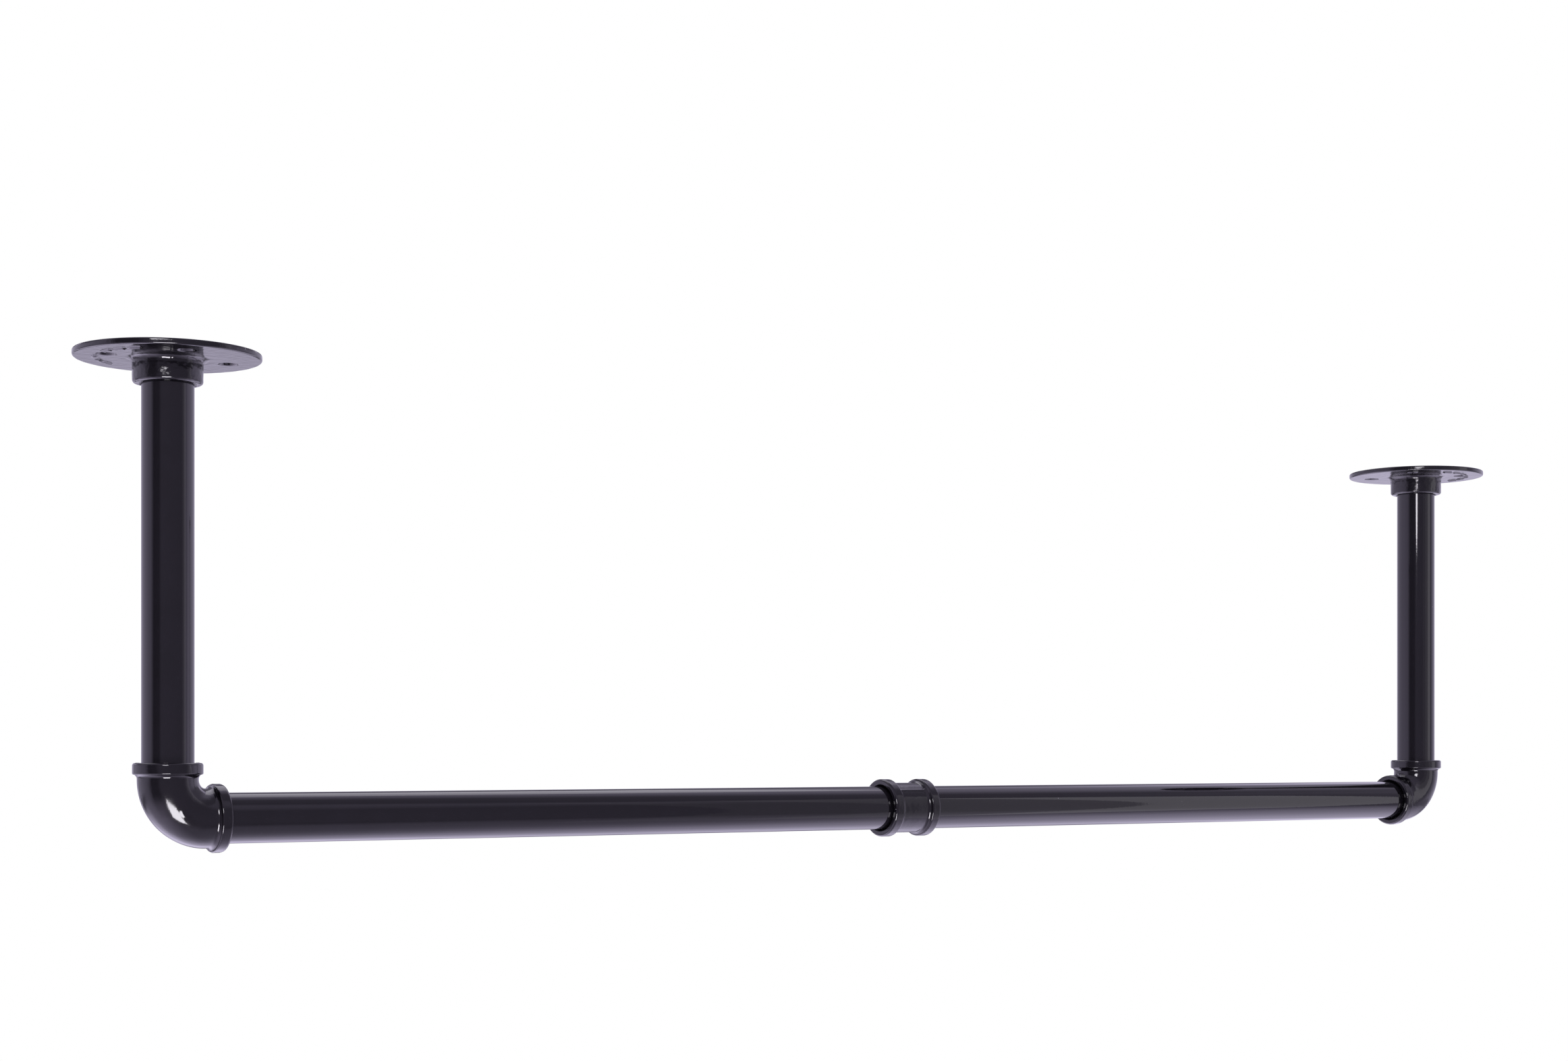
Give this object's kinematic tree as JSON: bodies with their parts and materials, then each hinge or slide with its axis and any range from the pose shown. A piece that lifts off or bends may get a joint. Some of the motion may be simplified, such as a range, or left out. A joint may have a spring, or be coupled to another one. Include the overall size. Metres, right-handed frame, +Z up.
{
  "type": "clothes rail",
  "caption": "U-shaped ceiling clothes rail of gloss black iron pipe: round screw flanges, drop pipes and elbows carry a horizontal bar joined at its middle by a coupling.",
  "frame": {"origin": "centre of the left flange's screw circle, on the face that lies against the ceiling", "axes": "+X along the rail to the right flange, +Z up into the ceiling, -Y toward the side the picture is taken from"},
  "size_m": [1.046, 0.096, 0.2602],
  "materials": {
    "painted_pipe": "smooth gloss black paint on steel tube",
    "painted_casting": "gloss black paint on sand-cast iron, slightly uneven"
  },
  "bodies": {
    "root": {"left_flange": "painted_casting", "left_drop_pipe": "painted_pipe", "left_elbow": "painted_casting", "left_rail_pipe": "painted_pipe", "coupling": "painted_casting", "right_rail_pipe": "painted_pipe", "right_elbow": "painted_casting", "right_drop_pipe": "painted_pipe", "right_flange": "painted_casting"}
  },
  "joints": []
}
